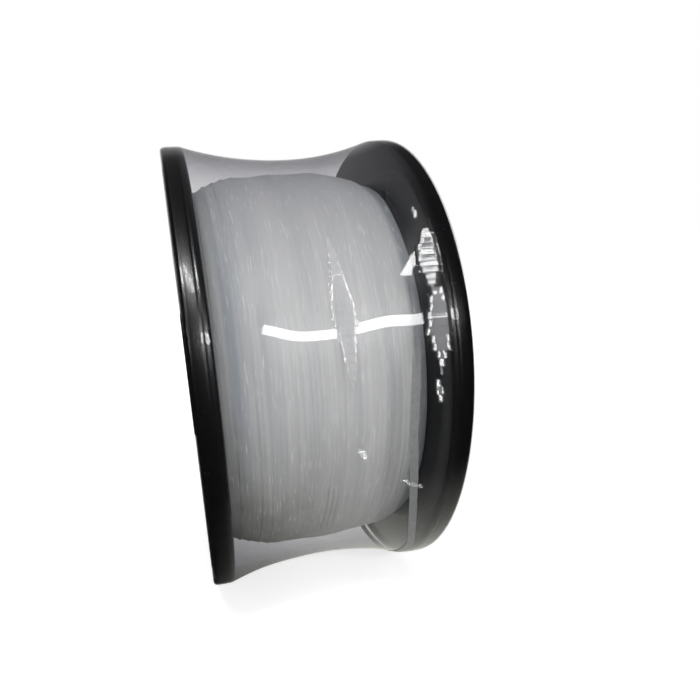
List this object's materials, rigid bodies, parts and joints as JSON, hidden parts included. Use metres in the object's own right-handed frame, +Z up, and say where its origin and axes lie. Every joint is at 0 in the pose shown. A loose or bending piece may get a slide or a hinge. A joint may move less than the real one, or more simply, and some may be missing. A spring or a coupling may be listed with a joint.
{
  "type": "fishing line spool",
  "caption": "Full two-flange spool of clear monofilament fishing line, closed in a clear shrink film, with a plain arbor bore.",
  "frame": {"origin": "on the arbor's axis, half way between the two flanges", "axes": "+X along the spool's axis towards the flange beside the film's seam, +Z up as the spool stands on its rims"},
  "size_m": [0.08, 0.1608, 0.1608],
  "materials": {
    "flange": "polished black",
    "core": "as moulded black",
    "screw": "bright zinc",
    "line": "clear nylon, milky in bulk",
    "tape": "clear tape",
    "film": "clear shrink film",
    "label": "blank paper"
  },
  "bodies": {
    "root": {"left_flange": "flange", "right_flange": "flange", "barrel": "core", "arbor_tube": "core", "left_screws": "screw", "right_screws": "screw", "line_start": "line", "inner_line_pack": "line", "line_winding": "line", "line_tail": "line", "tail_tape": "tape", "shrink_film": "film", "film_seam": "film", "left_label": "label", "right_label": "label"}
  },
  "joints": []
}
